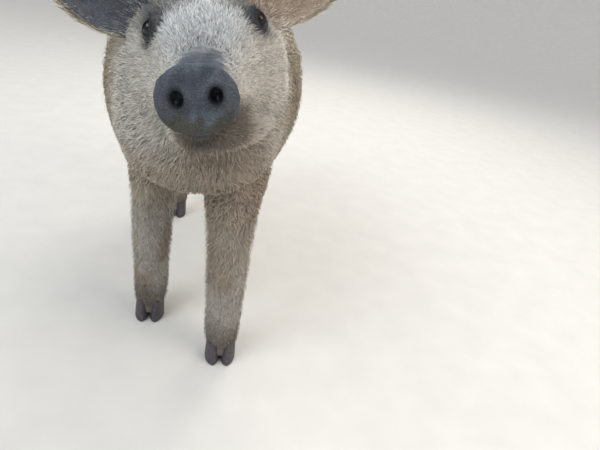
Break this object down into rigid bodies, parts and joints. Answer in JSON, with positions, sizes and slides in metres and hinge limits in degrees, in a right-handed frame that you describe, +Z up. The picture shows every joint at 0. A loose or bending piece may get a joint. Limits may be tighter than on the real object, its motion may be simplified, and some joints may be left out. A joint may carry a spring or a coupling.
{
  "type": "mangalica pig model",
  "caption": "Life-size still model of a young woolly-coated mangalica pig, standing square with its head raised.",
  "frame": {"origin": "middle of the bounding box, on the floor", "axes": "+Y from snout to tail, +X towards the pig's left side, +Z up"},
  "size_m": [0.2934, 0.7506, 0.5509],
  "materials": {
    "coat": "matt woolly hair",
    "face": "short matt hair",
    "ear": "thinly haired skin",
    "snout": "bare skin, slightly moist",
    "eye": "wet gloss",
    "claw": "horn, satin"
  },
  "bodies": {
    "root": {"snout": "snout", "head": "face", "lower_jaw": "face", "ear_left": "ear", "ear_right": "ear", "eye_left": "eye", "eye_right": "eye", "neck": "coat", "shoulders": "coat", "barrel": "coat", "hindquarters": "coat", "tail": "coat", "foreleg_left": "coat", "claw_foreleg_left_inner": "claw", "dewclaw_foreleg_left_inner": "claw", "claw_foreleg_left_outer": "claw", "dewclaw_foreleg_left_outer": "claw", "foreleg_right": "coat", "claw_foreleg_right_inner": "claw", "dewclaw_foreleg_right_inner": "claw", "claw_foreleg_right_outer": "claw", "dewclaw_foreleg_right_outer": "claw", "hindleg_left": "coat", "claw_hindleg_left_inner": "claw", "dewclaw_hindleg_left_inner": "claw", "claw_hindleg_left_outer": "claw", "dewclaw_hindleg_left_outer": "claw", "hindleg_right": "coat", "claw_hindleg_right_inner": "claw", "dewclaw_hindleg_right_inner": "claw", "claw_hindleg_right_outer": "claw", "dewclaw_hindleg_right_outer": "claw"}
  },
  "joints": []
}
